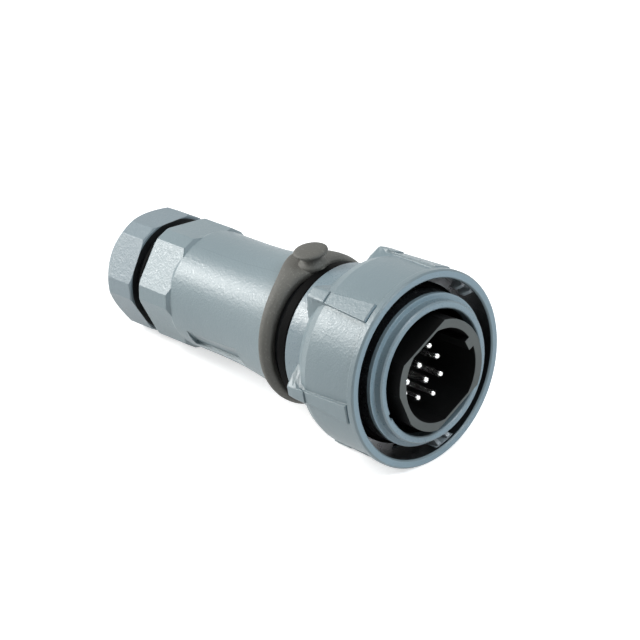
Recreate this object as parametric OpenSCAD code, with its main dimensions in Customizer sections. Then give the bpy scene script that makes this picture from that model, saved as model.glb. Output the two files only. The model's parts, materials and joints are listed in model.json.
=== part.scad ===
// Push-pull circular cable connector with pin contacts.
// X runs along the axis toward the mating face and Z is up. The origin
// is the centre of the coupling ring's front rim. Sizes are in mm.

/* [Coupling ring] */
// Diameter over the front rim
ring_d = 42; // [41.6:0.2:44]
// Thickness of the ring's skin around its bore
ring_wall = 1.2; // [1.1:0.05:1.4]
// Length from the rim to the rear end
ring_len = 19.4; // [18.8:0.2:21]
// Pull-back travel that frees the latches
ring_travel = 4; // [2:0.5:4.5]
// Length of the raised front rim
rim_len = 1.6; // [1.2:0.2:2.4]
// Step from the rim down to the ring's skin
rim_step = 0.65; // [0.4:0.05:0.8]
// Length of the sloped rear shoulder
shoulder_len = 2.9; // [2:0.1:3.2]
// Number of grip ribs
rib_count = 6; // [4:1:8]
// Width of a grip rib at its front end
rib_front_w = 4.2; // [3:0.2:6]
// Width of a grip rib at its rear end
rib_rear_w = 2.2; // [1.4:0.2:3]
// Height of a grip rib over the ring's skin
rib_h = 0.75; // [0.4:0.05:1]

/* [Latches] */
// Number of latches around the mating gap
latch_count = 3; // [2:1:4]
// Angle each latch covers
latch_span = 15; // [12:1:20]
// How far a latch tab reaches into the mating gap
latch_reach = 1.6; // [1:0.1:1.9]
// Length of a latch along the axis
latch_len = 3.2; // [2.4:0.2:3.6]

/* [Return spring] */
// Wire diameter of the return spring
spring_wire_d = 0.7; // [0.5:0.05:0.75]
// Turns of the return spring
spring_turns = 4; // [3:0.5:4]
// Thickness of the spring seat washer
seat_t = 0.6; // [0.5:0.1:1]
// Thickness of the retaining ring
circlip_t = 0.9; // [0.7:0.1:1.2]

/* [Front shell] */
// Width of the gap that the mating shell enters
mating_gap = 2.99; // [2.9:0.01:3.2]
// Length of the shell behind the rim
shell_len = 25.2; // [25:0.2:28]
// Step from the shell down to the nose
nose_step = 1.14; // [0.9:0.02:1.5]
// Length of the nose in front of the rim
nose_len = 2; // [1:0.2:3]
// Wall thickness of the nose
nose_wall = 1.62; // [1.4:0.02:1.8]
// Diameter of the rear spigot inside the body
spigot_d = 25.8; // [25.4:0.1:26]
// Length of the rear spigot
spigot_len = 10.8; // [9:0.2:12]
// Bore of the rear spigot
spigot_bore_d = 22.8; // [22.4:0.1:23.2]
// Depth of the interface seal's groove
seal_groove = 0.5; // [0.3:0.1:0.8]
// Width of the interface seal
seal_w = 1.7; // [1.2:0.1:2]

/* [Contact insert] */
// Gap between the nose's bore and the shroud
shroud_gap = 1.6; // [1.4:0.1:1.9]
// Wall thickness of the shroud
shroud_wall = 1.8; // [1.6:0.1:2]
// How far the shroud stands in front of the rim
shroud_out = 4; // [3:0.2:5]
// How deep the shroud's two flats are cut into its round
flat_depth = 2.05; // [1.9:0.05:2.2]
// Thickness of the two flat walls
flat_wall = 0.5; // [0.4:0.1:0.8]
// Depth of the cavity floor behind the rim
floor_depth = 9; // [8.6:0.2:10]
// Height of the polarising rib
key_h = 1.4; // [1:0.1:1.8]
// Width of the polarising rib
key_w = 2.5; // [1.5:0.1:3]

/* [Contacts] */
// Diameter of a contact pin
pin_d = 1.6; // [1.4:0.05:1.7]
// How far the earth pin stands in front of the others
earth_lead = 2; // [1:0.5:3]
// Diameter of a crimp barrel
crimp_d = 2.4; // [2.2:0.1:2.6]
// Bore of a crimp barrel
wire_d = 1.7; // [1.3:0.1:1.8]

/* [Body gasket and strap ring] */
// Thickness of the body gasket
gasket_t = 2.8; // [2:0.2:4]
// Outside diameter of the body gasket
gasket_d = 31.5; // [30.8:0.1:31.6]
// Diameter of the strap ring at its crest
strap_d = 33.1; // [32.6:0.1:34]
// Diameter of the stud's head
stud_head_d = 7.8; // [6:0.2:9]
// Diameter of the stud's neck
stud_neck_d = 4; // [3:0.2:4.6]
// Height of the stud over the strap ring
stud_h = 3; // [2.4:0.2:4]
// Diameter of the pad under the stud
pad_d = 12; // [10.6:0.2:13]

/* [Rear body] */
// Length of the rear body's outer shell
body_len = 47.2; // [44:0.2:52]
// Diameter of the neck under the strap ring
neck_d = 28.4; // [28.2:0.1:28.6]
// Length of the neck under the strap ring
neck_len = 4.8; // [4.4:0.2:6]
// Diameter of the shoulder behind the strap ring
collar_d = 30; // [29.6:0.1:30.2]
// Diameter of the slim middle
body_d = 26.3; // [25.8:0.1:26.8]
// Bore of the wiring chamber
chamber_d = 22.6; // [22:0.1:23]
// Length of the spanner flats
hex_len = 9.8; // [8:0.2:12]
// Size across the spanner flats
hex_af = 25.4; // [25.2:0.1:26]
// Size across the flats cut on the hexagon's corners
hex_corner = 27.5; // [27:0.1:28.2]
// Depth of the two side pockets below the skin
pocket_depth = 0.8; // [0.4:0.1:0.9]
// Length of a side pocket
pocket_len = 17.5; // [12:0.5:20]

/* [Cable gland] */
// Diameter of the threaded rear spigot
gland_d = 22; // [21.6:0.1:22.2]
// Bore of the rear spigot
gland_bore_d = 18.6; // [18.2:0.1:18.8]
// Gap between the body and the nut
nut_gap = 3.3; // [3:0.1:5]
// Length of the nut's flats
nut_flat_len = 7.5; // [6.6:0.1:9]
// Length of the nut's rear cone
nut_cone_len = 3.4; // [3:0.1:4]
// Size across the nut's flats
nut_af = 25.12; // [24.9:0.1:26]
// Size across the flats cut on the nut's corners
nut_corner = 26.9; // [26.4:0.1:28]
// Hole in the nut for the cable
nut_hole_d = 12.4; // [11:0.2:13]
// Bore of the grommet
cable_d = 8; // [6:0.2:9]
// Diameter of the grommet
grommet_d = 14.4; // [13.6:0.1:14.6]
// Number of fingers on the clamp cage
fingers = 8; // [6:1:10]

/* [Clearances] */
// Radial running clearance of the sliding and turning fits
run_fit = 0.05; // [0.03:0.01:0.08]
// Radial clearance of soft and loose pieces
loose_fit = 0.3; // [0.2:0.05:0.4]
// Gap between end faces that rest on each other
face_gap = 0.1; // [0.05:0.01:0.15]

/* [Hidden] */

$fn = 96;
eps = 0.01;

grey = [0.53, 0.60, 0.64];
light_grey = [0.70, 0.74, 0.76];
black = [0.05, 0.05, 0.05];
dark_rubber = [0.27, 0.26, 0.24];
insert_black = [0.16, 0.16, 0.15];
silver = [0.85, 0.86, 0.88];
steel = [0.62, 0.64, 0.66];

// Angles about X, from +Y toward +Z
rib_phi = 68;
latch_phi = 45;
insert_phi = 26;
stud_phi = 97;
pocket_phi = 221;
hex_phi = 25;
nut_phi = 30;

// Coupling ring and what it carries
ring_r = ring_d / 2;
skin_r = ring_r - rim_step;
bore_r = skin_r - ring_wall;
shell_r = bore_r - mating_gap;
groove_depth = 0.4;
circlip_x = -7.3;
seat_x = circlip_x - circlip_t - face_gap;
spring_x = seat_x - seat_t - face_gap / 2;
stop_wall = 2.9;
flange_t = 1.2;
stop_x = -(ring_len - stop_wall);
flange_x = stop_x + face_gap;
flange_r = bore_r - loose_fit - 0.05;
latch_x = -1;
latch_base = 0.5;
tab_w = 0.9;
spring_r = (shell_r + bore_r) / 2;

// Front shell
nose_r = shell_r - nose_step;
nose_bore_r = nose_r - nose_wall;
keyway_phi = 202;
spigot_r = spigot_d / 2;
spigot_bore_r = spigot_bore_d / 2;
seal_x = -4.9;
x_shell = -shell_len;
x_spigot = x_shell - spigot_len;

// Insert
floor_x = -floor_depth;
base_t = 6.9;
base_x = floor_x - base_t;
boss_len = 6;
boss_x = base_x - boss_len;
front_skin = 1.6;
retainer_t = 1.4;
retainer_x = boss_x - face_gap / 2 - retainer_t;
tail_x = retainer_x - 7.5;
shroud_r = nose_bore_r - shroud_gap;
shroud_bore_r = shroud_r - shroud_wall;
shroud_flats = 2 * (shroud_r - flat_depth);
lock_len = 2;
lock_wall = shroud_gap - run_fit - loose_fit;
root_step = 0.2;
shell_web_x = base_x - face_gap / 2;

// Contact pattern in pitches: along the polarising rib, then across it.
// The pitch follows the shroud's bore, so the pattern always fits in it.
pitch = 0.425 * shroud_bore_r;
pattern = [
  [0.80, 0.89], [0.93, 0], [0.64, -0.99], [-0.20, 0.50], [-0.24, -0.50],
  [-0.27, 1.49], [-0.24, -1.51], [-1.62, 0], [-1.10, -0.91], [-1.49, 0.86],
];

// Rear body
x_body = x_shell - gasket_t - 2 * face_gap;
x_neck = x_body - neck_len;
x_end = x_body - body_len;
x_hex = x_end + hex_len;
body_r = body_d / 2;
neck_r = neck_d / 2;
collar_r = collar_d / 2;
chamber_r = chamber_d / 2;
x_chamber_end = x_end + 9.4;
web_t = 3.4;
web_hole_r = 8.2;
gland_r = gland_d / 2;
gland_bore_r = gland_bore_d / 2;

// Cable gland
x_nut = x_end - nut_gap;
x_cone = x_nut - nut_flat_len;
x_rear = x_cone - nut_cone_len;
x_gland_end = x_cone + 1.4;
cage_r = gland_bore_r - 2 * run_fit;
cage_x = x_end + 3.4;
cage_wall = cage_r - grommet_d / 2 - run_fit;
finger_x = x_rear + 1.1;
tip_drop = 1.3;
slot_w = 1.2;
slot_x = x_gland_end + 4.5;
grommet_x0 = x_gland_end + 0.8;
grommet_x1 = cage_x - 1.5;
seal_ring_r = 0.75;

// A ring or disc turned about X from points [radius, x]
module turned(points) {
  rotate([0, 90, 0]) rotate_extrude() polygon(points);
}

// A plain tube about X from x0 forward to x1
module tube(x0, x1, r_in, r_out) {
  turned([[r_in, x0], [r_out, x0], [r_out, x1], [r_in, x1]]);
}

// A flat outline in Y and Z run from x0 forward to x1
module prism(x0, x1) {
  translate([x0, 0, 0]) rotate([90, 0, 90])
    linear_extrude(x1 - x0) children();
}

// A wedge of the space around X, centred on +Y, between two stations
module wedge(x0, x1, span, reach) {
  prism(x0, x1) polygon([
    [0, 0], [reach, -reach * tan(span / 2)], [reach, reach * tan(span / 2)],
  ]);
}

// Hexagon with its corners cut flat, its wide flats at 0, 60, 120 degrees
module cut_hexagon(across, across_corners) {
  intersection() {
    rotate(30) circle(d = across / cos(30), $fn = 6);
    circle(d = across_corners / cos(30), $fn = 6);
  }
}

module grip_rib() {
  back = -(ring_len - 1.2);
  front = -(rim_len + 0.5);
  top = skin_r + rib_h;
  root = bore_r + latch_base + 0.15;
  rear_root = skin_r - 2.9;
  intersection() {
    translate([0, top + 1, 0]) rotate([90, 0, 0]) linear_extrude(6)
      polygon([
        [front, -rib_front_w / 2], [front, rib_front_w / 2],
        [back, rib_rear_w / 2], [back, -rib_rear_w / 2],
      ]);
    translate([0, 0, -rib_front_w]) linear_extrude(2 * rib_front_w)
      polygon([
        [front, root], [front, top - 0.2], [front - 0.2, top],
        [back + 1.4, top - 0.3], [back, top - 2.4], [back, rear_root],
        [stop_x - 0.3, rear_root], [stop_x - 0.3, root],
      ]);
  }
}

module coupling_ring() {
  color(grey)
    difference() {
      union() {
        turned([
          [shell_r + run_fit, -ring_len], [skin_r - 3, -ring_len],
          [skin_r - 0.75, -(ring_len - shoulder_len)],
          [skin_r - 0.1, -(ring_len - shoulder_len - 2)],
          [skin_r, -(ring_len - shoulder_len - 5)],
          [skin_r, -(rim_len + 0.3)], [ring_r, -rim_len],
          [ring_r, -0.35], [ring_r - 0.35, 0],
          [bore_r + 0.3, 0], [bore_r, -0.3],
          [bore_r, circlip_x + face_gap / 2],
          [bore_r + groove_depth, circlip_x + face_gap / 2],
          [bore_r + groove_depth, seat_x + face_gap / 2],
          [bore_r, seat_x + face_gap / 2],
          [bore_r, stop_x], [shell_r + run_fit, stop_x],
        ]);
        for (i = [0 : rib_count - 1])
          rotate([rib_phi + i * 360 / rib_count, 0, 0]) grip_rib();
      }
      for (i = [0 : latch_count - 1])
        rotate([latch_phi + i * 360 / latch_count, 0, 0])
          intersection() {
            tube(latch_x - latch_len - face_gap, latch_x + face_gap,
              bore_r - 0.3, bore_r + latch_base + run_fit);
            wedge(latch_x - latch_len - 1, latch_x + 1,
              latch_span + 1, ring_d);
          }
    }
}

module spring_seat() {
  color(steel)
    tube(seat_x - seat_t, seat_x, shell_r + loose_fit, bore_r - loose_fit);
}

module ring_circlip() {
  color(steel)
    difference() {
      tube(circlip_x - circlip_t, circlip_x,
        shell_r + 1.1, bore_r + groove_depth - run_fit);
      rotate([270, 0, 0])
        wedge(circlip_x - 2 * circlip_t, circlip_x + 1, 24, ring_d);
    }
}

// Height along the spring, with a closed half turn at each end
function spring_rise(t) =
  min(max((t - 0.6) / (spring_turns - 1.2), 0), 1);

module ring_spring() {
  steps = 28;
  sides = 8;
  rings = round(spring_turns * steps);
  low = flange_x + flange_t + spring_wire_d / 2 + 0.05;
  high = spring_x - spring_wire_d / 2;
  wire = spring_wire_d / 2;
  points = [
    for (i = [0 : rings]) let (t = i / steps, a = 360 * t,
      x = low + (high - low) * spring_rise(t))
      for (j = [0 : sides - 1]) let (b = 360 * j / sides,
        r = spring_r + wire * cos(b))
        [x + wire * sin(b), r * cos(a), r * sin(a)],
  ];
  skin = [
    for (i = [0 : rings - 1], j = [0 : sides - 1])
      let (k = (j + 1) % sides)
        [i * sides + j, (i + 1) * sides + j,
         (i + 1) * sides + k, i * sides + k],
  ];
  ends = [
    [for (j = [0 : sides - 1]) j],
    [for (j = [sides - 1 : -1 : 0]) rings * sides + j],
  ];
  color(steel) polyhedron(points, concat(skin, ends), convexity = 6);
}

// One latch: a curved plate let into the ring's bore, with two tabs
module latch(i) {
  tab_x = latch_x - latch_len + 0.6;
  color(light_grey)
    rotate([latch_phi + i * 360 / latch_count, 0, 0]) {
      intersection() {
        tube(latch_x - latch_len, latch_x, bore_r - 0.05, bore_r + latch_base);
        wedge(latch_x - latch_len, latch_x, latch_span, ring_d);
      }
      for (side = [-0.3, 0.3])
        rotate([side * latch_span, 0, 0])
          translate([0, 0, -tab_w / 2]) linear_extrude(tab_w)
            polygon([
              [tab_x, bore_r + latch_base / 2],
              [tab_x, bore_r - latch_reach],
              [latch_x - 1.2, bore_r - latch_reach],
              [latch_x, bore_r - 0.5],
              [latch_x, bore_r + latch_base / 2],
            ]);
    }
}

module latch_1() { latch(0); }
module latch_2() { latch(1); }
module latch_3() { latch(2); }

module front_shell() {
  color(grey)
    difference() {
      turned([
        [spigot_bore_r, x_spigot], [spigot_r - 0.3, x_spigot],
        [spigot_r, x_spigot + 0.3], [spigot_r, x_shell],
        [shell_r - 0.3, x_shell], [shell_r, x_shell + 0.3],
        [shell_r, flange_x], [flange_r, flange_x],
        [flange_r, flange_x + flange_t], [shell_r, flange_x + flange_t],
        [shell_r, seal_x - seal_w], [shell_r - seal_groove, seal_x - seal_w],
        [shell_r - seal_groove, seal_x], [shell_r, seal_x], [shell_r, 0],
        [nose_r, 0], [nose_r, nose_len - 0.3], [nose_r - 0.3, nose_len],
        [nose_bore_r + 0.25, nose_len], [nose_bore_r, nose_len - 0.25],
        [nose_bore_r, shell_web_x], [spigot_bore_r, shell_web_x],
      ]);
      // Keyway that sets how the mating half goes in
      rotate([keyway_phi, 0, 0]) translate([-3.5, nose_bore_r - 0.3, -0.8])
        cube([nose_len + 4, 0.9, 1.6]);
    }
}

module interface_seal() {
  lip = shell_r + 0.95;
  color(black)
    turned([
      [shell_r - seal_groove, seal_x - seal_w + face_gap / 2],
      [shell_r + 0.3, seal_x - seal_w + face_gap / 2],
      [lip, seal_x - seal_w / 2 - 0.3], [lip, seal_x - seal_w / 2 + 0.3],
      [shell_r + 0.3, seal_x - face_gap / 2],
      [shell_r - seal_groove, seal_x - face_gap / 2],
    ]);
}

// Outline of the shroud: round, with two thin flat walls and one shallow flat
module shroud_outline() {
  difference() {
    intersection() {
      circle(r = shroud_r);
      square([4 * shroud_r, shroud_flats], center = true);
    }
    rotate(175) translate([shroud_r - 0.6, -shroud_r])
      square([2, 2 * shroud_r]);
  }
}

module shroud_hollow() {
  difference() {
    intersection() {
      circle(r = shroud_bore_r);
      square([4 * shroud_r, shroud_flats - 2 * flat_wall], center = true);
    }
    translate([shroud_bore_r - key_h, -key_w / 2])
      square([2 * key_h, key_w]);
  }
}

// Puts its children on each place of the contact pattern
module at_place(i) {
  rotate([insert_phi, 0, 0])
    translate([0, pitch * pattern[i][0], pitch * pattern[i][1]]) children();
}

module contact_insert() {
  color(insert_black)
    difference() {
      turned([
        [0, boss_x], [spigot_bore_r - 2 * run_fit, boss_x],
        [spigot_bore_r - 2 * run_fit, base_x],
        [nose_bore_r - run_fit, base_x],
        [nose_bore_r - run_fit, floor_x], [0, floor_x],
      ]);
      for (i = [0 : len(pattern) - 1]) at_place(i) {
        tube(floor_x - front_skin - 1, floor_x + 1,
          0, pin_d / 2 + root_step + run_fit);
        tube(boss_x - 1, floor_x - front_skin, 0, crimp_d / 2 + run_fit);
      }
    }
}

// The shroud round the pins, bonded to the insert's front
module insert_shroud() {
  color(insert_black)
    rotate([insert_phi, 0, 0]) prism(floor_x + face_gap / 2, shroud_out)
      difference() {
        shroud_outline();
        shroud_hollow();
      }
}

module insert_lock_ring() {
  color(black)
    difference() {
      tube(floor_x + face_gap, floor_x + face_gap + lock_len,
        nose_bore_r - run_fit - lock_wall, nose_bore_r - run_fit);
      for (a = [0, 180]) rotate([a, 0, 0])
        translate([floor_x + face_gap + lock_len - 1, 0, -1])
          cube([2, ring_r, 2]);
    }
}

// A turned contact: round-nosed pin, shoulder and hollow crimp barrel
module contact(i, tip) {
  r = pin_d / 2;
  seat = floor_x - front_skin - face_gap;
  color(silver)
    at_place(i)
      turned(concat(
        [[wire_d / 2, tail_x], [crimp_d / 2, tail_x], [crimp_d / 2, seat],
         [r + root_step, seat], [r + root_step, floor_x], [r, floor_x]],
        [for (a = [0 : 15 : 90]) [r * cos(a), tip - r + r * sin(a)]],
        [[0, tail_x + 5.5], [wire_d / 2, tail_x + 5]]
      ));
}

module contact_1() { contact(0, 0); }
module contact_2() { contact(1, 0); }
module contact_3() { contact(2, 0); }
module contact_4() { contact(3, 0); }
module contact_5() { contact(4, 0); }
module contact_6() { contact(5, 0); }
module contact_7() { contact(6, 0); }
module contact_8() { contact(7, 0); }
module contact_9() { contact(8, 0); }
module earth_contact() { contact(9, earth_lead); }

module contact_retainer() {
  color(light_grey)
    difference() {
      tube(retainer_x, retainer_x + retainer_t, 0,
        spigot_bore_r - 2 * run_fit);
      for (i = [0 : len(pattern) - 1]) at_place(i)
        tube(retainer_x - 1, retainer_x + retainer_t + 1,
          0, crimp_d / 2 + run_fit);
    }
}

module body_gasket() {
  back = x_body + face_gap;
  front = x_shell - face_gap;
  color(black)
    turned([
      [spigot_r + run_fit, back], [gasket_d / 2 - 0.4, back],
      [gasket_d / 2, back + 0.4], [gasket_d / 2, front - 0.4],
      [gasket_d / 2 - 0.4, front], [spigot_r + run_fit, front],
    ]);
}

// Shallow pocket on the body's flank, its floor flat and its low wall upright
module side_pocket() {
  rotate([pocket_phi, 0, 0])
    translate([x_hex + 4.2, body_r - pocket_depth, -9])
      cube([pocket_len, 5, 9]);
}

module rear_body() {
  bore_x = x_chamber_end - web_t;
  color(grey)
    difference() {
      union() {
        turned([
          [0, x_hex - 2], [body_r - 0.95, x_hex - 2], [body_r, x_hex + 0.2],
          [body_r, x_hex + 11], [body_r + 0.2, x_neck - 15],
          [collar_r - 1.15, x_neck - 10], [collar_r - 0.55, x_neck - 5],
          [collar_r - 0.1, x_neck - 2], [collar_r, x_neck - 0.4],
          [collar_r - 0.4, x_neck], [neck_r, x_neck], [neck_r, x_body],
          [0, x_body],
        ]);
        intersection() {
          rotate([hex_phi, 0, 0]) prism(x_end, x_hex + 2)
            cut_hexagon(hex_af, hex_corner);
          turned([
            [0, x_end], [hex_corner / 2 - 0.3, x_end],
            [hex_corner / 2 + 0.2, x_end + 0.4],
            [hex_corner / 2 + 0.2, x_hex - 0.6],
            [body_r - 0.1, x_hex + 0.5], [0, x_hex + 0.5],
          ]);
        }
        turned([
          [0, x_gland_end], [gland_r - 0.4, x_gland_end],
          [gland_r, x_gland_end + 0.4], [gland_r, x_end + 1], [0, x_end + 1],
        ]);
      }
      tube(x_spigot - 0.5, x_body + 1, 0, spigot_r + run_fit);
      tube(x_chamber_end, x_body, 0, chamber_r);
      tube(bore_x - 1, x_chamber_end + 1, 0, web_hole_r);
      tube(x_gland_end - 1, bore_x, 0, gland_bore_r);
      side_pocket();
      mirror([0, 1, 0]) side_pocket();
    }
}

// Rubber ring for a cap's strap, with a pad and a mushroom stud
module strap_ring() {
  back = x_neck + face_gap;
  front = x_body - 0.3;
  mid = (back + front) / 2;
  crest = strap_d / 2;
  pad_r = crest + 0.35;
  pad_back = mid - pad_d / 2;
  pad_front = min(mid + pad_d / 2, x_shell - face_gap);
  wing = 0.46 * pad_d;
  color(dark_rubber) {
    turned([
      [neck_r + run_fit, back], [crest - 0.9, back],
      [crest - 0.45, back + 0.4], [crest, mid - 0.1],
      [crest - 0.7, front], [neck_r + run_fit, front],
    ]);
    // The pad widens out of the ring on both sides of the stud
    intersection() {
      turned([
        [collar_r + loose_fit, pad_back], [pad_r, pad_back],
        [pad_r, pad_front], [gasket_d / 2 + loose_fit, pad_front],
        [gasket_d / 2 + loose_fit, front - 0.05],
        [crest - 1.6, front - 0.05], [crest - 1.6, back + 0.2],
        [collar_r + loose_fit, back + 0.2],
      ]);
      rotate([stud_phi, 0, 0]) translate([0, crest + 2, 0])
        rotate([90, 0, 0]) linear_extrude(crest) {
          translate([mid, 0]) circle(d = pad_d, $fn = 64);
          polygon([
            [mid - 1.5, 13.5], [mid + 1.5, 13.5],
            [mid + wing, 2.3], [mid + wing, -2.3],
            [mid + 1.5, -13.5], [mid - 1.5, -13.5],
            [mid - wing, -2.3], [mid - wing, 2.3],
          ]);
        }
    }
    rotate([stud_phi - 90, 0, 0]) translate([mid, 0, crest]) rotate_extrude()
      polygon([
        [0, -0.6], [stud_neck_d / 2 + 0.5, -0.6],
        [stud_neck_d / 2 + 0.5, 0.45], [stud_neck_d / 2, 1],
        [stud_neck_d / 2, stud_h - 1.3],
        [stud_head_d / 2 - 0.2, stud_h - 0.95],
        [stud_head_d / 2, stud_h - 0.6],
        [stud_head_d / 2 - 0.5, stud_h - 0.2],
        [stud_head_d / 4, stud_h], [0, stud_h + 0.05],
      ]);
  }
}

module gland_seal() {
  color(black)
    translate([x_end - face_gap - seal_ring_r, 0, 0]) rotate([0, 90, 0])
      rotate_extrude() translate([gland_r + run_fit + seal_ring_r, 0])
        circle(r = seal_ring_r, $fn = 24);
}

module clamp_cage() {
  color(light_grey)
    difference() {
      turned([
        [cage_r - tip_drop - cage_wall, finger_x],
        [cage_r - tip_drop, finger_x], [cage_r, x_gland_end],
        [cage_r, cage_x], [cage_r - cage_wall, cage_x],
        [cage_r - cage_wall, x_gland_end],
      ]);
      for (i = [0 : fingers - 1]) rotate([(i + 0.5) * 360 / fingers, 0, 0])
        translate([finger_x - 1, 0, -slot_w / 2])
          cube([slot_x - finger_x + 1, ring_r, slot_w]);
    }
}

module cable_grommet() {
  color(black)
    tube(grommet_x0, grommet_x1, cable_d / 2, grommet_d / 2);
}

module gland_nut() {
  clear = cage_r + loose_fit;
  cone_x = x_cone - 0.2;
  color(grey)
    difference() {
      intersection() {
        rotate([nut_phi, 0, 0]) prism(x_rear, x_nut)
          cut_hexagon(nut_af, nut_corner);
        turned([
          [0, x_rear], [nut_corner / 2 - 3.6, x_rear],
          [nut_corner / 2 - 1.6, x_rear + 1.2],
          [nut_corner / 2 + 0.2, x_cone],
          [nut_corner / 2 + 0.2, x_nut - 0.5],
          [nut_corner / 2 - 0.2, x_nut], [0, x_nut],
        ]);
      }
      tube(cone_x, x_nut + 1, 0, gland_r + run_fit);
      turned([
        [0, finger_x - loose_fit], [clear - tip_drop, finger_x - loose_fit],
        [clear - 0.2, cone_x], [0, cone_x],
      ]);
      tube(x_rear - 1, x_cone, 0, nut_hole_d / 2);
    }
}

coupling_ring();
spring_seat();
ring_circlip();
ring_spring();
latch_1();
latch_2();
latch_3();
front_shell();
interface_seal();
contact_insert();
insert_shroud();
insert_lock_ring();
contact_1();
contact_2();
contact_3();
contact_4();
contact_5();
contact_6();
contact_7();
contact_8();
contact_9();
earth_contact();
contact_retainer();
body_gasket();
rear_body();
strap_ring();
gland_seal();
clamp_cage();
cable_grommet();
gland_nut();
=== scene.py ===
# %% [markdown]
# # A push-pull circular connector
# This lesson dresses a imported model of a cable connector. The frame holds every
# real part at its real size in metres, with X along the axis toward the mating
# face. We load it first, and the boxes of its nodes set the sizes used below.
# Its flat stand-in materials are cleared, so that ours can carry the same names.

# %% Load the frame
import json
import math
import bpy
import bmesh
from mathutils import Matrix, Vector


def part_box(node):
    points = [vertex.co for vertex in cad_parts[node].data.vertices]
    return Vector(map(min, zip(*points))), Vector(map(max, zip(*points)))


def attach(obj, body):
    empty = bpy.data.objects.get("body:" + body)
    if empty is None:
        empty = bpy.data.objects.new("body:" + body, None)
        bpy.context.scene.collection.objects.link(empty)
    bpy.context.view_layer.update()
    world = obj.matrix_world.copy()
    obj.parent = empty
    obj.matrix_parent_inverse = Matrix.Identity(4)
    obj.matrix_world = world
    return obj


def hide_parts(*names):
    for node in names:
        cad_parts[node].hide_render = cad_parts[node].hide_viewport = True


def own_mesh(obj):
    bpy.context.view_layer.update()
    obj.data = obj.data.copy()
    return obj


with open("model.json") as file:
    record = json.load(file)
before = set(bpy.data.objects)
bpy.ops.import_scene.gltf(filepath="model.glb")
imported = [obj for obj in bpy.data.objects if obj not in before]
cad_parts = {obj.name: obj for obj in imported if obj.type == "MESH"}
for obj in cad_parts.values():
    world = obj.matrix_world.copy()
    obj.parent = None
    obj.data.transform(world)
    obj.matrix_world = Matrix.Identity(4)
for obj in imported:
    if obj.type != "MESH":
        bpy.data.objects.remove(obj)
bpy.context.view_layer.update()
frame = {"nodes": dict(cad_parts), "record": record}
nodes = frame["nodes"]
for node in nodes.values():
    node.data.materials.clear()
for flat in list(bpy.data.materials):
    bpy.data.materials.remove(flat)
MM = 0.001

# %% [markdown]
# ## Camera
# A long lens keeps the tube's two ends nearly the same size, as in a catalogue
# view. The camera looks at the mating face from the front left and a little
# above. Its directions are given outright, so nothing tilts by accident.

# %% Camera
right = Vector((0.68378, 0.72718, -0.06044))
up = Vector((-0.26056, 0.32069, 0.91064))
back = right.cross(up).normalized()
eye = Vector((313.3, -306.6, 208.5))
slide_right, slide_up = -0.34, 0.20
place = (eye + slide_right * right + slide_up * up) * MM

cam_data = bpy.data.cameras.new("camera")
cam_data.lens = 135
cam_data.sensor_width = 36
cam_data.clip_start = 0.01
camera = bpy.data.objects.new("camera", cam_data)
bpy.context.collection.objects.link(camera)
camera.matrix_world = Matrix((
    (right.x, up.x, back.x, place.x),
    (right.y, up.y, back.y, place.y),
    (right.z, up.z, back.z, place.z),
    (0, 0, 0, 1)))
bpy.context.scene.camera = camera
print("camera looks along", [round(c, 3) for c in -back])

# %% [markdown]
# ## The floor
# The connector lies on its widest ring and on one flat of the gland nut, so
# its axis is not level. The part stays in its own frame and the floor is tilted
# instead. The tilt is found from the two nodes that touch the floor, so it
# stays right if their sizes change.

# %% Floor
RIM_TOUCH = -1.0 * MM
NUT_TOUCH = 3.4 * MM
FLOOR_GAP = 0.1 * MM
rim_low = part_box("coupling_ring")[0][2]
nut_back, _, nut_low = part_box("gland_nut")[0]
tilt = math.atan2(nut_low - rim_low, RIM_TOUCH - (nut_back + NUT_TOUCH))
floor_normal = Vector((math.sin(tilt), 0, math.cos(tilt)))

mesh = bpy.data.meshes.new("floor")
bm = bmesh.new()
bmesh.ops.create_grid(bm, x_segments=1, y_segments=1, size=3)
bm.to_mesh(mesh)
bm.free()
floor = bpy.data.objects.new("floor", mesh)
bpy.context.collection.objects.link(floor)
floor.rotation_euler = (0, tilt, 0)
floor.location = Vector((RIM_TOUCH, 0, rim_low)) - floor_normal * FLOOR_GAP
print("floor tilt, degrees:", round(math.degrees(tilt), 2))

# %% [markdown]
# ## Light
# One broad lamp, to the rear left and above, makes the long soft streak on the
# tube. It stands where a mirror on the tube's upper left side would show it to
# the camera. A cooler one above the mating face lifts the front rims. The world
# fills in weakly from all round, and reads as white only to the camera, to
# reflections and through clear pieces.

# %% Lamps and world
LAMP_TARGET = Vector((-35, 0, 0)) * MM
WORLD_FILL = 0.13

def area_lamp(name, direction, distance, size, watts, colour):
    data = bpy.data.lights.new(name, "AREA")
    data.shape = "DISK"
    data.size = size
    data.energy = watts
    data.color = colour
    lamp = bpy.data.objects.new(name, data)
    bpy.context.collection.objects.link(lamp)
    aim = Vector(direction).normalized()
    lamp.location = aim * distance + LAMP_TARGET
    lamp.rotation_euler = aim.to_track_quat("Z", "Y").to_euler()
    return lamp

area_lamp("key", (-0.72, -0.45, 0.50), 0.7, 0.30, 5.0, (1.0, 1.0, 0.985))
area_lamp("front", (0.80, 0.10, 0.80), 0.8, 0.4, 3.8, (0.86, 0.94, 1.0))
area_lamp("top", (-0.1, 0.25, 1.0), 0.8, 0.6, 0.7, (1.0, 1.0, 1.0))

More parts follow.
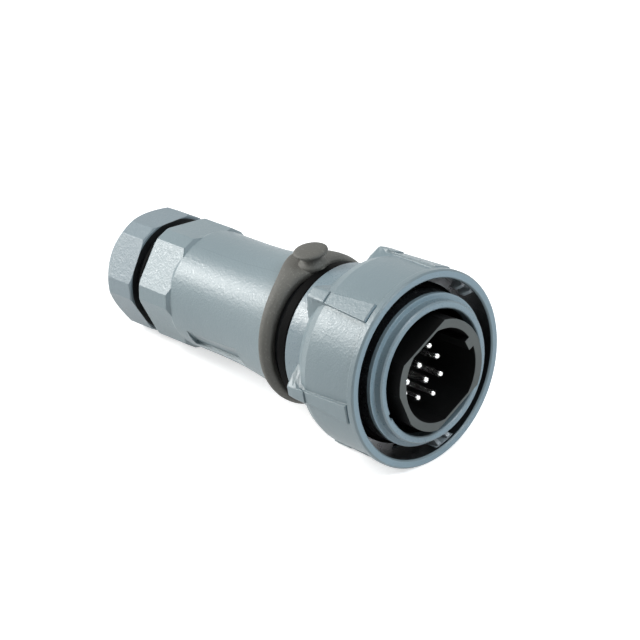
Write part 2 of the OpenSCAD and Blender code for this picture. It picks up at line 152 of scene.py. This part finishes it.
world = bpy.data.worlds.new("studio")
bpy.context.scene.world = world
world.use_nodes = True
wn = world.node_tree.nodes
wl = world.node_tree.links
wn.clear()
w_out = wn.new("ShaderNodeOutputWorld")
w_bg = wn.new("ShaderNodeBackground")
w_path = wn.new("ShaderNodeLightPath")
w_map = wn.new("ShaderNodeMapRange")
w_map.inputs["To Min"].default_value = WORLD_FILL
w_map.inputs["To Max"].default_value = 1.0
w_bg.inputs["Color"].default_value = (1.0, 1.0, 1.0, 1)
seen = w_path.outputs["Is Camera Ray"]
for kind in ("Is Glossy Ray", "Is Transmission Ray"):
    either = wn.new("ShaderNodeMath")
    either.operation = "MAXIMUM"
    wl.new(seen, either.inputs[0])
    wl.new(w_path.outputs[kind], either.inputs[1])
    seen = either.outputs[0]
wl.new(seen, w_map.inputs["Value"])
wl.new(w_map.outputs["Result"], w_bg.inputs["Strength"])
wl.new(w_bg.outputs["Background"], w_out.inputs["Surface"])
bpy.context.scene.view_settings.view_transform = "Standard"

# %% [markdown]
# ## Node helpers
# Materials here are chains of small nodes. These helpers add a node, set its
# numbers and make its links in one line, so that a material reads like a list.
# A Mix node keeps its sockets apart by type, so those are picked by number.

# %% Node helpers
COLOUR_A, COLOUR_B, COLOUR_OUT = 6, 7, 2
VECTOR_A, VECTOR_B, VECTOR_OUT = 4, 5, 1

def add(tree, kind, links=None, **values):
    node = tree.nodes.new("ShaderNode" + kind)
    for key, value in values.items():
        if hasattr(node, key):
            setattr(node, key, value)
        else:
            node.inputs[key.replace("_", " ")].default_value = value
    for key, source in (links or {}).items():
        tree.links.new(source, node.inputs[key])
    return node

def maths(tree, operation, a, b=None, clamp=False):
    node = tree.nodes.new("ShaderNodeMath")
    node.operation = operation
    node.use_clamp = clamp
    for socket, value in zip(node.inputs, (a, b)):
        if value is None:
            continue
        if isinstance(value, (int, float)):
            socket.default_value = value
        else:
            tree.links.new(value, socket)
    return node.outputs[0]

def product(tree, first, *others):
    for other in others:
        first = maths(tree, "MULTIPLY", first, other)
    return first

def group(name, ins, outs):
    tree = bpy.data.node_groups.new(name, "ShaderNodeTree")
    new_socket = tree.interface.new_socket
    for label, kind, value in ins:
        socket = new_socket(label, in_out="INPUT", socket_type="NodeSocket" + kind)
        socket.default_value = value
    for label, kind in outs:
        new_socket(label, in_out="OUTPUT", socket_type="NodeSocket" + kind)
    given = tree.nodes.new("NodeGroupInput").outputs
    result = tree.nodes.new("NodeGroupOutput").inputs
    return tree, given, result

def use(tree, name, **values):
    node = tree.nodes.new("ShaderNodeGroup")
    node.node_tree = bpy.data.node_groups[name]
    for key, value in values.items():
        node.inputs[key.replace("_", " ")].default_value = value
    return node

def material(name):
    m = bpy.data.materials.new(name)
    m.use_nodes = True
    return m, m.node_tree, m.node_tree.nodes["Principled BSDF"]

print("helpers:", ", ".join(f.__name__ for f in (add, maths, product, group, use, material)))

# %% [markdown]
# ## Soft edges
# Moulded plastic has no sharp corners. The Bevel node rounds the normal near an
# edge without touching the mesh. Comparing that rounded normal with the true
# one also tells where the edges are, which gives a mask for polish, wear and
# painted edge highlight.

# %% Group: soft edge
EDGE_GAIN = 7.0
t, given, result = group(
    "Soft edge", [("Radius", "Float", 0.0003)],
    [("Normal", "Vector"), ("Edge", "Float")])
bevel = add(t, "Bevel", {"Radius": given["Radius"]}, samples=6)
flat = add(t, "NewGeometry")
same = add(t, "VectorMath", {0: bevel.outputs["Normal"], 1: flat.outputs["Normal"]},
           operation="DOT_PRODUCT")
turned = maths(t, "SUBTRACT", 1.0, same.outputs["Value"])
t.links.new(bevel.outputs["Normal"], result["Normal"])
t.links.new(maths(t, "MULTIPLY", turned, EDGE_GAIN, clamp=True), result["Edge"])
print("group:", t.name)

# %% [markdown]
# ## Spark-eroded grain
# The mould is spark eroded, so the plastic carries a fine even grain that
# sparkles in the highlight. Two noises of different size give the height. A
# third, far larger, drifts the tone a little, as flow in the mould does, and
# the peaks of the finest one are given out as sparks.

# %% Group: moulded grain
COARSE_SHARE = 0.41
SPARK_LEVEL = 0.62
t, given, result = group(
    "Moulded grain",
    [("Grain per metre", "Float", 2600.0), ("Drift", "Float", 0.05)],
    [("Height", "Float"), ("Tone", "Float"), ("Spark", "Float")])
where = add(t, "TexCoord").outputs["Object"]
per_metre = given["Grain per metre"]
fine = add(t, "TexNoise", {"Vector": where, "Scale": per_metre}, Detail=2.0, Roughness=0.6)
coarse_scale = maths(t, "MULTIPLY", per_metre, COARSE_SHARE)
coarse = add(t, "TexNoise", {"Vector": where, "Scale": coarse_scale}, Detail=1.0)
cloud = add(t, "TexNoise", {"Vector": where}, Scale=70.0, Detail=2.0)
height = maths(t, "ADD", maths(t, "MULTIPLY", fine.outputs["Fac"], 0.6),
               maths(t, "MULTIPLY", coarse.outputs["Fac"], 0.4))
swing = product(t, maths(t, "SUBTRACT", cloud.outputs["Fac"], 0.5), given["Drift"])
t.links.new(height, result["Height"])
t.links.new(maths(t, "ADD", 1.0, swing), result["Tone"])
t.links.new(maths(t, "GREATER_THAN", fine.outputs["Fac"], SPARK_LEVEL), result["Spark"])
print("group:", t.name)

# %% [markdown]
# ## Where on the part
# Several finishes change at a known radius or station, such as the black lining
# of the mating gap. This group turns a point into its station along X, its
# radius and its angle, so that masks can be cut by size, in metres.

# %% Group: station
t, given, result = group(
    "Station", [], [("Along", "Float"), ("Radius", "Float"), ("Angle", "Float")])
axes = add(t, "SeparateXYZ", {"Vector": add(t, "TexCoord").outputs["Object"]})
yy = product(t, axes.outputs["Y"], axes.outputs["Y"])
zz = product(t, axes.outputs["Z"], axes.outputs["Z"])
t.links.new(axes.outputs["X"], result["Along"])
t.links.new(maths(t, "SQRT", maths(t, "ADD", yy, zz)), result["Radius"])
t.links.new(maths(t, "ARCTAN2", axes.outputs["Z"], axes.outputs["Y"]), result["Angle"])
print("group:", t.name)

# %% [markdown]
# ## One sweep along the barrel
# The body's barrel is built from a few cones, so its light would break at each
# joint between them. The real barrel is one sweep. This group works out that
# sweep's normal from the place on the part, and says where it may be used.

# %% Group: barrel sweep
SWEEP_START, SWEEP_END = -65.0 * MM, -34.0 * MM
WAIST = -60.0 * MM
LEAN_PER_METRE = -0.00538 / MM
OUTWARD = 0.975
t, given, result = group("Barrel sweep", [], [("Normal", "Vector"), ("Where", "Float")])
where = add(t, "TexCoord")
axes = add(t, "SeparateXYZ", {"Vector": where.outputs["Object"]})
past_waist = maths(t, "MAXIMUM", maths(t, "SUBTRACT", axes.outputs["X"], WAIST), 0.0)
lean = add(t, "CombineXYZ", {"X": maths(t, "MULTIPLY", past_waist, LEAN_PER_METRE)})
spoke = add(t, "CombineXYZ", {"Y": axes.outputs["Y"], "Z": axes.outputs["Z"]})
unit = add(t, "VectorMath", {0: spoke.outputs[0]}, operation="NORMALIZE")
swept = add(t, "VectorMath", {0: unit.outputs[0], 1: lean.outputs[0]}, operation="ADD")
turned = add(t, "VectorTransform", {"Vector": swept.outputs[0]}, vector_type="NORMAL",
             convert_from="OBJECT", convert_to="WORLD")
whole = add(t, "VectorMath", {0: turned.outputs[0]}, operation="NORMALIZE")
facing = add(t, "VectorMath", {0: where.outputs["Normal"], 1: unit.outputs[0]},
             operation="DOT_PRODUCT")
outer = maths(t, "GREATER_THAN", facing.outputs["Value"], OUTWARD)
after = maths(t, "GREATER_THAN", axes.outputs["X"], SWEEP_START)
before = maths(t, "LESS_THAN", axes.outputs["X"], SWEEP_END)
t.links.new(whole.outputs[0], result["Normal"])
t.links.new(product(t, outer, after, before), result["Where"])
print("group:", t.name)

# %% [markdown]
# ## Grey housing plastic
# The ring, shell, body and nut are one blue-grey glass-filled nylon. Gloss is
# low and broad. The grain raises tiny bumps. Edges are polished a touch
# glossier and painted a touch paler, partly as wear from handling and partly as
# painted highlight. Forward faces near the front are painted lighter and bluer,
# as painted light. One function makes them all, since they differ only in tone
# and in which gaps are painted black as shade.

# %% Housing plastic
# The black painted into gaps as painted shade.
PAINTED_SHADE_BLACK = (0.006, 0.007, 0.008)
HOUSING_GRAIN = 2300.0
WEAR_AND_HIGHLIGHT_GAIN, WEAR_AND_HIGHLIGHT_LIFT, WEAR_AND_HIGHLIGHT_SHARE = 1.35, 0.02, 0.5
EDGE_POLISH, SPARK_POLISH = 0.08, 0.12
FORWARD, FRONT_ZONE = 0.9, -3.0 * MM

def mix_colour(tree, factor, a, b):
    node = add(tree, "Mix", {0: factor}, data_type="RGBA")
    for socket, value in ((node.inputs[COLOUR_A], a), (node.inputs[COLOUR_B], b)):
        if isinstance(value, tuple):
            socket.default_value = (*value, 1)
        else:
            tree.links.new(value, socket)
    return node.outputs[COLOUR_OUT]

def scaled(tree, colour, factor):
    node = add(tree, "VectorMath", {0: colour, "Scale": factor}, operation="SCALE")
    return node.outputs[0]

# Mask of the forward faces near the front, which are painted lighter as painted light.
def lit_front_faces(t, place):
    look = add(t, "SeparateXYZ", {"Vector": add(t, "TexCoord").outputs["Normal"]})
    ahead = maths(t, "GREATER_THAN", look.outputs["X"], FORWARD)
    near = maths(t, "GREATER_THAN", place.outputs["Along"], FRONT_ZONE)
    return product(t, ahead, near)

def barrel_normal(t, normal):
    barrel = use(t, "Barrel sweep")
    blend = add(t, "Mix", {0: barrel.outputs["Where"]}, data_type="VECTOR")
    t.links.new(normal, blend.inputs[VECTOR_A])
    t.links.new(barrel.outputs["Normal"], blend.inputs[VECTOR_B])
    return blend.outputs[VECTOR_OUT]

def housing(name, colour, rough=0.40, radius=0.0003, shade_mask=None, sweep=False,
            lit_front_tone=None):
    m, t, bsdf = material(name)
    soft = use(t, "Soft edge", Radius=radius)
    skin = use(t, "Moulded grain", Grain_per_metre=HOUSING_GRAIN, Drift=0.10)
    place = use(t, "Station")
    # Edges are painted paler: partly wear, partly painted highlight.
    wear_and_highlight = tuple(min(1.0, c * WEAR_AND_HIGHLIGHT_GAIN + WEAR_AND_HIGHLIGHT_LIFT) for c in colour)
    edge_wear_and_highlight = maths(t, "MULTIPLY", soft.outputs["Edge"], WEAR_AND_HIGHLIGHT_SHARE)
    base = scaled(t, mix_colour(t, edge_wear_and_highlight, colour, wear_and_highlight), skin.outputs["Tone"])
    # Forward faces near the front are painted lighter and bluer: painted light.
    if lit_front_tone:
        base = mix_colour(t, lit_front_faces(t, place), base, lit_front_tone)
    # Gaps in deep shade are painted black: painted shade.
    if shade_mask:
        base = mix_colour(t, shade_mask(t, place), base, PAINTED_SHADE_BLACK)
    t.links.new(base, bsdf.inputs["Base Color"])
    edge_gloss = maths(t, "MULTIPLY", soft.outputs["Edge"], EDGE_POLISH)
    spark_gloss = maths(t, "MULTIPLY", skin.outputs["Spark"], SPARK_POLISH)
    gloss = maths(t, "SUBTRACT", maths(t, "SUBTRACT", rough, edge_gloss), spark_gloss)
    t.links.new(gloss, bsdf.inputs["Roughness"])
    normal = soft.outputs["Normal"]
    if sweep:
        normal = barrel_normal(t, normal)
    lift = add(t, "Bump", {"Height": skin.outputs["Height"], "Normal": normal},
               Strength=0.8, Distance=0.00012)
    t.links.new(lift.outputs["Normal"], bsdf.inputs["Normal"])
    bsdf.inputs["Specular IOR Level"].default_value = 0.55
    return m

# %% [markdown]
# ## Painted shade in the gaps, and the greys
# Inside the mating gap, behind the nut and round the body's neck the plastic
# lies in deep shade. That shade is painted black into the colour, as their
# depth makes it on the real part. Each painted shade is a mask cut by station
# and radius, measured from the boxes of the nodes that bound it. The same masks
# paint the shade of the fine groove behind the rim and a faint shade line on
# the mould's seam along the barrel.

# %% Painted gap shade and greys
ring_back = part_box("coupling_ring")[0][0]
rim_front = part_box("coupling_ring")[1][0]
nut_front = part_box("gland_nut")[1][0]
body_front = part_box("rear_body")[1][0]
body_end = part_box("gland_seal")[1][0]
RING_BORE, RING_SKIN = 19.25 * MM, 20.0 * MM
NUT_BORE = 12.75 * MM
SHELL_SKIN, NOSE_BORE = 15.4 * MM, 13.5 * MM
SEAM_FROM, SEAM_TO, SEAM_SOFT = (math.radians(a) for a in (112.6, 113.1, 0.15))
BARREL_FROM, BARREL_TO = -63.0 * MM, -34.5 * MM
GROOVE_SHADE, SEAM_SHADE = 0.75, 0.16

def band_mask(tree, value, low, high, soft):
    rise = add(tree, "MapRange", {"Value": value},
               From_Min=low - soft, From_Max=low + soft)
    fall = add(tree, "MapRange", {"Value": value},
               From_Min=high - soft, From_Max=high + soft, To_Min=1.0, To_Max=0.0)
    return product(tree, rise.outputs["Result"], fall.outputs["Result"])

# Painted shade: black in the ring's mating gap, and a dark line of shade for the groove behind
# the rim.
def ring_shade_mask(t, place):
    along, radius = place.outputs["Along"], place.outputs["Radius"]
    inside = maths(t, "LESS_THAN", radius, RING_BORE)
    behind = band_mask(t, along, ring_back + 3.2 * MM, rim_front - 0.45 * MM, 0.01 * MM)
    groove = band_mask(t, along, rim_front - 1.98 * MM, rim_front - 1.86 * MM, 0.03 * MM)
    outside = maths(t, "GREATER_THAN", radius, RING_SKIN)
    shade = product(t, groove, outside, GROOVE_SHADE)
    return maths(t, "MAXIMUM", product(t, inside, behind), shade)

# Painted shade: black on the nut's front face inside its bore.
def nut_shade_mask(t, place):
    face = maths(t, "GREATER_THAN", place.outputs["Along"], nut_front - 0.02 * MM)
    return product(t, face, maths(t, "LESS_THAN", place.outputs["Radius"], NUT_BORE))

# Painted shade: black round the body's neck and tail, and a faint line of shade on the seam.
def body_shade_mask(t, place):
    along = place.outputs["Along"]
    neck = maths(t, "GREATER_THAN", along, body_front - 4.7 * MM)
    tail = maths(t, "LESS_THAN", along, body_end + 0.1 * MM)
    seam = band_mask(t, place.outputs["Angle"], SEAM_FROM, SEAM_TO, SEAM_SOFT)
    barrel = band_mask(t, along, BARREL_FROM, BARREL_TO, 1.0 * MM)
    seam = product(t, seam, barrel, SEAM_SHADE)
    return maths(t, "MAXIMUM", maths(t, "MAXIMUM", neck, tail), seam)

# Painted shade: black on the shell in the mating gap and deep in the nose's bore.
def shell_shade_mask(t, place):
    along, radius = place.outputs["Along"], place.outputs["Radius"]
    gap = band_mask(t, along, rim_front - 16.6 * MM, rim_front - 0.9 * MM, 0.05 * MM)
    outer = maths(t, "GREATER_THAN", radius, SHELL_SKIN)
    bore = maths(t, "LESS_THAN", radius, NOSE_BORE)
    deep = maths(t, "LESS_THAN", along, rim_front - 0.6 * MM)
    return maths(t, "MAXIMUM", product(t, gap, outer), product(t, bore, deep))

GREY = (0.188, 0.243, 0.264)
SHELL_GREY = (0.195, 0.255, 0.285)
NUT_GREY = (0.185, 0.235, 0.262)
# The lighter, bluer tone painted on forward faces as painted light.
FRONT_LIT_GREY = (0.245, 0.335, 0.385)
ring_plastic = housing("ring_plastic", GREY, shade_mask=ring_shade_mask, lit_front_tone=FRONT_LIT_GREY)
housing("shell_plastic", SHELL_GREY, rough=0.34, shade_mask=shell_shade_mask, lit_front_tone=FRONT_LIT_GREY)
housing("body_plastic", GREY, shade_mask=body_shade_mask, sweep=True)
housing("nut_plastic", NUT_GREY, rough=0.43, shade_mask=nut_shade_mask)
housing("latch_plastic", (0.36, 0.40, 0.42), rough=0.35, radius=0.0001)
housing("retainer_plastic", (0.5, 0.5, 0.47), rough=0.5)
housing("cage_plastic", (0.52, 0.52, 0.49), rough=0.45)
print("plastics:", [m.name for m in bpy.data.materials if m.name.endswith("plastic")])

# %% [markdown]
# ## Rubber and dull black mouldings
# The strap ring is a warm dark rubber with a chalky bloom on its edges and on
# the peaks of its grain. Seals and the grommet are black rubber, and the
# lock ring is a dull black moulding. The seals are set darker than rubber, as
# painted shade of the gaps they sit in. They shine so little that one function
# with a gloss setting serves them all.

# %% Rubber
RUBBER_GRAIN = 2200.0
BLOOM_EDGE, BLOOM_SPARK = 0.35, 0.25

def dark_moulding(name, colour, bloom, rough=0.6, bump=0.45, gloss=0.03):
    m, t, bsdf = material(name)
    soft = use(t, "Soft edge", Radius=0.0004)
    skin = use(t, "Moulded grain", Grain_per_metre=RUBBER_GRAIN, Drift=0.5)
    pale = maths(t, "ADD", maths(t, "MULTIPLY", soft.outputs["Edge"], BLOOM_EDGE),
                 maths(t, "MULTIPLY", skin.outputs["Spark"], BLOOM_SPARK))
    base = scaled(t, mix_colour(t, pale, colour, bloom), skin.outputs["Tone"])
    t.links.new(base, bsdf.inputs["Base Color"])
    bsdf.inputs["Roughness"].default_value = rough
    bsdf.inputs["Specular IOR Level"].default_value = gloss
    lift = add(t, "Bump", {"Height": skin.outputs["Height"], "Normal": soft.outputs["Normal"]},
               Strength=bump, Distance=0.00015)
    t.links.new(lift.outputs["Normal"], bsdf.inputs["Normal"])
    return m

strap_rubber = dark_moulding("strap_rubber", (0.102, 0.100, 0.089), (0.24, 0.235, 0.21),
                             rough=0.62, bump=0.9, gloss=0.4)
# The seals' near-zero black is partly painted shade of their gaps.
dark_moulding("seal_rubber", (0.003, 0.003, 0.003), (0.008, 0.008, 0.008))
dark_moulding("grommet_rubber", (0.008, 0.008, 0.009), (0.03, 0.03, 0.03), gloss=0.3)
dark_moulding("lock_plastic", (0.002, 0.002, 0.002), (0.004, 0.004, 0.004))
print("strap rubber colour:", (0.102, 0.100, 0.089))

# %% [markdown]
# ## The black insert
# The insert is a black thermoset. Its colour is painted near black as painted
# shade, so the contacts seem to stand in a dark well. Only its front edge is
# painted a paler grey, as painted light on the face that meets the lamps. That
# edge is found by its station, and both its colour and its gloss fade in there.

# %% Black insert
insert_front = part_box("insert_shroud")[1][0]
m, t, bsdf = material("insert_plastic")
place = use(t, "Station")
soft = use(t, "Soft edge", Radius=0.00015)
skin = use(t, "Moulded grain", Grain_per_metre=2400.0, Drift=0.4)
# The paler front edge is painted light; the near black elsewhere is painted shade.
lit_edge = add(t, "MapRange", {"Value": place.outputs["Along"]},
             From_Min=insert_front - 0.15 * MM, From_Max=insert_front - 0.02 * MM)
lit_edge = lit_edge.outputs["Result"]
base = mix_colour(t, lit_edge, (0.002, 0.002, 0.002), (0.13, 0.14, 0.135))
t.links.new(scaled(t, base, skin.outputs["Tone"]), bsdf.inputs["Base Color"])
gloss = add(t, "MapRange", {"Value": lit_edge}, To_Min=0.55, To_Max=0.5)
t.links.new(gloss.outputs["Result"], bsdf.inputs["Roughness"])
lift = add(t, "Bump", {"Height": skin.outputs["Height"], "Normal": soft.outputs["Normal"]},
           Strength=0.3, Distance=0.0001)
t.links.new(lift.outputs["Normal"], bsdf.inputs["Normal"])
bsdf.inputs["Specular IOR Level"].default_value = 0.15
print("insert's front edge, mm:", round(insert_front / MM, 2))

# %% [markdown]
# ## Metals
# Contacts are silver plated and polished, and spring steel is drawn through a
# die. Both keep fine lines from the tool that made them. A noise squeezed along
# one axis gives those lines, and it moves the tone, the gloss and the surface
# together, as real scratches do.

# %% Metals
def metal(name, colour, rough, lines_per_metre):
    m, t, bsdf = material(name)
    pull = add(t, "Mapping", {"Vector": add(t, "TexCoord").outputs["Object"]})
    pull.inputs["Scale"].default_value = lines_per_metre
    lines = add(t, "TexNoise", {"Vector": pull.outputs["Vector"]}, Scale=1.0, Detail=3.0)
    lines = lines.outputs["Fac"]
    tone = maths(t, "ADD", 0.9, maths(t, "MULTIPLY", lines, 0.2))
    rgb = add(t, "RGB").outputs[0]
    rgb.default_value = (*colour, 1)
    t.links.new(scaled(t, rgb, tone), bsdf.inputs["Base Color"])
    bsdf.inputs["Metallic"].default_value = 1.0
    gloss = add(t, "MapRange", {"Value": lines}, To_Min=rough * 0.8, To_Max=rough * 1.25)
    t.links.new(gloss.outputs["Result"], bsdf.inputs["Roughness"])
    lift = add(t, "Bump", {"Height": lines}, Strength=0.1, Distance=0.00005)
    t.links.new(lift.outputs["Normal"], bsdf.inputs["Normal"])
    return m

metal("contact_metal", (0.93, 0.93, 0.92), 0.16, (9000.0, 900.0, 900.0))
spring_steel = metal("spring_steel", (0.5, 0.51, 0.53), 0.28, (9000.0, 600.0, 600.0))
print("materials:", len(bpy.data.materials))

# %% [markdown]
# ## Dressing the frame
# Every node of the frame names its material slot in the record. One loop gives
# each node the finish of the same name, so no node is forgotten.

# %% Assign materials
finishes = {s["node"]: s["material_slot"] for s in frame["record"]["subparts"]}
for name, node in nodes.items():
    node.data.materials.append(bpy.data.materials[finishes[name]])
print("dressed:", len(finishes))

# %% [markdown]
# ## Tools for the pieces
# Four forms are built here point by point. Each is a row of closed loops, with
# faces drawn between one loop and the next. The same helpers join the loops,
# close the ends, and hand the finished piece to the body that it moves with.

# %% Loft helpers
def polar(x, r, angle):
    return (x, r * math.cos(angle), r * math.sin(angle))

def join(bm, one, two):
    n = len(one)
    for k in range(n):
        bm.faces.new((one[k], one[(k + 1) % n], two[(k + 1) % n], two[k]))

def loft(bm, loops, closed=False):
    for one, two in zip(loops, loops[1:] + (loops[:1] if closed else [])):
        join(bm, one, two)
    if not closed:
        bm.faces.new(list(reversed(loops[0])))
        bm.faces.new(loops[-1])

def finished_mesh(bm, name):
    bmesh.ops.recalc_face_normals(bm, faces=bm.faces)
    mesh = bpy.data.meshes.new(name)
    bm.to_mesh(mesh)
    bm.free()
    return mesh

def new_piece(name, mesh, body, finish, slot, smooth=True):
    piece = bpy.data.objects.new(name, mesh)
    bpy.context.collection.objects.link(piece)
    mesh.materials.append(finish)
    for face in mesh.polygons:
        face.use_smooth = smooth
    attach(piece, body)
    return piece

print("loft helpers:", ", ".join(f.__name__ for f in (polar, join, loft, new_piece)))

# %% [markdown]
# ## The strap ring
# A cap's strap hangs on this soft ring. One side widens into a pad that holds a
# mushroom stud. A revolved band with a pad glued on would show seams, so the
# band is lofted: one cross-section is carried round the axis, and its rear
# and front edges drift apart smoothly toward the stud. A bell curve sets the
# drift, because moulded rubber has no corners there.

# %% Strap ring
gasket_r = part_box("body_gasket")[1][1]
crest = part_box("strap_ring")[1][1]
stud_angle = math.radians(97)
stud_x = -30.4 * MM
band_back, band_front = body_front - 5.0 * MM, body_front - 1.8 * MM
lip = body_front - 0.15 * MM
bore_back = body_front - 4.6 * MM
SLEEVE, BORE, SEAT = 14.3 * MM, 14.35 * MM, 15.16 * MM
RING_STEPS = 240

def bell(offset, width):
    return 1.0 / (1.0 + (offset / width) ** 2) ** 1.6

def strap_section(angle):
    off = (angle - stud_angle + math.pi) % (2 * math.pi) - math.pi
    rear = band_back - 3.75 * MM * bell(off, 0.50)
    front = band_front + 2.9 * MM * bell(off, 0.30) ** 1.4
    top = crest + 0.35 * MM * bell(off, 0.35)
    wide = front - rear
    over = max(0.0, min(1.0, (front - body_front) / (1.5 * MM)))
    under = SLEEVE + (gasket_r + 0.2 * MM - SLEEVE) * over
    edge = top - 1.05 * MM
    if over >= 0.01:
        edge = max(edge, under + 0.2 * MM)
    inner = min(front - 0.1 * MM, lip)
    return [
        (rear + 0.45 * MM, SEAT), (rear + 0.08 * MM, top - 1.15 * MM),
        (rear, top - 0.95 * MM), (rear + 0.12 * MM, top - 0.5 * MM),
        (rear + 0.45 * MM, top - 0.16 * MM), (rear + 0.9 * MM, top - 0.02 * MM),
        (rear + 0.45 * wide, top), (rear + 0.56 * wide, top - 0.08 * MM),
        (front - 0.75 * MM, top - 0.45 * MM), (front - 0.2 * MM, top - 0.75 * MM),
        (front, edge), (front - 0.05 * MM, max(15.3 * MM, under)),
        (inner, max(15.2 * MM, under)), (inner, BORE), (bore_back, BORE), (bore_back, SEAT)]

bm = bmesh.new()
loops = []
for i in range(RING_STEPS):
    a = 2 * math.pi * i / RING_STEPS
    loops.append([bm.verts.new(polar(x, r, a)) for x, r in strap_section(a)])
loft(bm, loops, closed=True)
mesh = finished_mesh(bm, "strap_band")
strap_band = new_piece("strap_band", mesh, "strap", strap_rubber, "strap_rubber")
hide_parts("strap_ring")
at_stud = strap_section(stud_angle)
pad_width = max(x for x, _ in at_stud) - min(x for x, _ in at_stud)
print("strap band: faces", len(mesh.polygons), "pad, mm", round(pad_width / MM, 2))

# %% [markdown]
# ## The stud
# The stud is turned about its own short axis, so its outline is spun: a foot
# that flares into the pad, a neck, and a domed head with a rolled rim. It is
# spun at the origin and then stood on the pad, which is easier to read than
# working out tilted points.

# %% Strap stud
stud_outline = [
    (3.3, -1.0), (3.0, 0.05), (2.5, 0.3), (2.15, 0.7), (2.0, 1.1), (2.0, 1.65),
    (2.3, 1.85), (3.1, 1.95), (3.5, 2.1), (3.66, 2.35), (3.6, 2.62), (3.3, 2.8),
    (2.6, 2.92), (1.6, 3.0), (0.7, 3.03)]
STUD_STEPS = 64
bm = bmesh.new()
loops = []
for r, h in stud_outline:
    turns = (2 * math.pi * i / STUD_STEPS for i in range(STUD_STEPS))
    loops.append([bm.verts.new((r * MM * math.cos(a), r * MM * math.sin(a), h * MM))
                  for a in turns])
loft(bm, loops)
outward = Vector((0, math.cos(stud_angle), math.sin(stud_angle)))
along = Vector((1, 0, 0))
across = outward.cross(along)
seat = Vector((stud_x, 0, 0)) + outward * (crest + 0.02 * MM)
bmesh.ops.transform(bm, verts=bm.verts, matrix=Matrix((
    (along.x, across.x, outward.x, seat.x), (along.y, across.y, outward.y, seat.y),
    (along.z, across.z, outward.z, seat.z), (0, 0, 0, 1))))
mesh = finished_mesh(bm, "strap_stud")
strap_stud = new_piece("strap_stud", mesh, "strap", strap_rubber, "strap_rubber")
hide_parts("strap_ring")
top = max(math.hypot(v.co.y, v.co.z) for v in mesh.vertices)
print("stud top radius, mm:", round(top / MM, 2))

# %% [markdown]
# ## Rib feet
# Each grip rib spreads into a triangular foot where the ring narrows at its
# rear. The foot is a short loft from a wide low section at the rear edge to a
# thin one that runs into the rib's side, so it reads as one moulding with it.
# Its faces stay flat, as the real foot's do, and the soft-edge group rounds
# the corners between them.

# %% Rib feet
RIBS, RIB_ANGLE = 6, math.radians(68)
# Station, radius and half width of the base, half width and radius of the top
foot_stations = [
    (-19.9, 17.0, 4.5, 0.9, 20.3), (-19.75, 17.1, 4.6, 1.05, 20.7),
    (-19.3, 17.5, 4.4, 1.2, 21.03), (-18.0, 18.6, 3.5, 1.3, 21.12),
    (-16.6, 19.45, 2.6, 1.4, 21.13), (-14.6, 20.05, 1.8, 1.5, 21.12)]

def foot_section(x, low_r, low_half, top_half, top_r):
    tip = math.asin(low_half / low_r)
    mid = math.asin(0.55 * low_half / low_r)
    brow = top_half / top_r
    waist_r = low_r + 0.5 * (top_r - low_r)
    steps = [(-tip, low_r - 0.35), (-mid, waist_r), (-brow, top_r - 0.12),
             (-0.7 * brow, top_r), (0.7 * brow, top_r), (brow, top_r - 0.12),
             (mid, waist_r), (tip, low_r - 0.35), (0.0, low_r - 0.6)]
    return [(x * MM, r * MM, a) for a, r in steps]

bm = bmesh.new()
for k in range(RIBS):
    turn = RIB_ANGLE + 2 * math.pi * k / RIBS
    loft(bm, [[bm.verts.new(polar(x, r, turn + a)) for x, r, a in foot_section(*station)]
              for station in foot_stations])
mesh = finished_mesh(bm, "rib_feet")
rib_feet = new_piece("rib_feet", mesh, "coupling", ring_plastic, "ring_plastic", smooth=False)
print("rib feet:", RIBS, "rear edge of the ring, mm", round(ring_back / MM, 2))

# %% [markdown]
# ## The return spring
# A wire spring inside the ring pushes it forward again. It is the one part that
# changes length, so it is drawn afresh as a coil of round wire with closed
# ends.

# %% Return spring
spring_lo, spring_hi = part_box("ring_spring")
WIRE = 0.35 * MM
WIRE_SIDES = 10
TURNS, COIL_STEPS = 4, 72
END_TURN = 0.6
coil_r = spring_hi[1] - WIRE
free_len = spring_hi[0] - spring_lo[0]
rise = free_len - 2 * WIRE
wire_angles = [2 * math.pi * k / WIRE_SIDES for k in range(WIRE_SIDES)]
bm = bmesh.new()
loops = []
for i in range(TURNS * COIL_STEPS + 1):
    turn = i / COIL_STEPS
    share = min(max((turn - END_TURN) / (TURNS - 2 * END_TURN), 0.0), 1.0)
    x = spring_lo[0] + WIRE + rise * share
    a = 2 * math.pi * turn
    loops.append([bm.verts.new(polar(x + WIRE * math.sin(b), coil_r + WIRE * math.cos(b), a))
                  for b in wire_angles])
loft(bm, loops)
mesh = finished_mesh(bm, "return_spring")
return_spring = new_piece("return_spring", mesh, "front", spring_steel, "spring_steel")
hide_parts("ring_spring")
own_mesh(return_spring)

# %% [markdown]
# ## Floor finish
# The floor is plain white card. It takes the part's shadow from its diffuse
# side. A weak glow, kept from the light that falls on the part, brings it up
# to about the white of the background, so the part seems to lie on nothing.

# %% Floor finish
FLOOR_GLOW = 0.62
m, t, _ = material("pale_floor")
t.nodes.clear()
out = add(t, "OutputMaterial")
path = add(t, "LightPath")
seen = maths(t, "MAXIMUM", path.outputs["Is Camera Ray"], path.outputs["Is Glossy Ray"])
seen = maths(t, "MAXIMUM", seen, path.outputs["Is Transmission Ray"])
dull = add(t, "BsdfDiffuse", Color=(0.8, 0.8, 0.8, 1))
glow = add(t, "Emission", {"Strength": maths(t, "MULTIPLY", seen, FLOOR_GLOW)},
           Color=(1, 1, 1, 1))
both = add(t, "AddShader", {0: dull.outputs[0], 1: glow.outputs[0]})
t.links.new(both.outputs[0], out.inputs["Surface"])
floor.data.materials.append(m)
print("floor finish:", m.name)
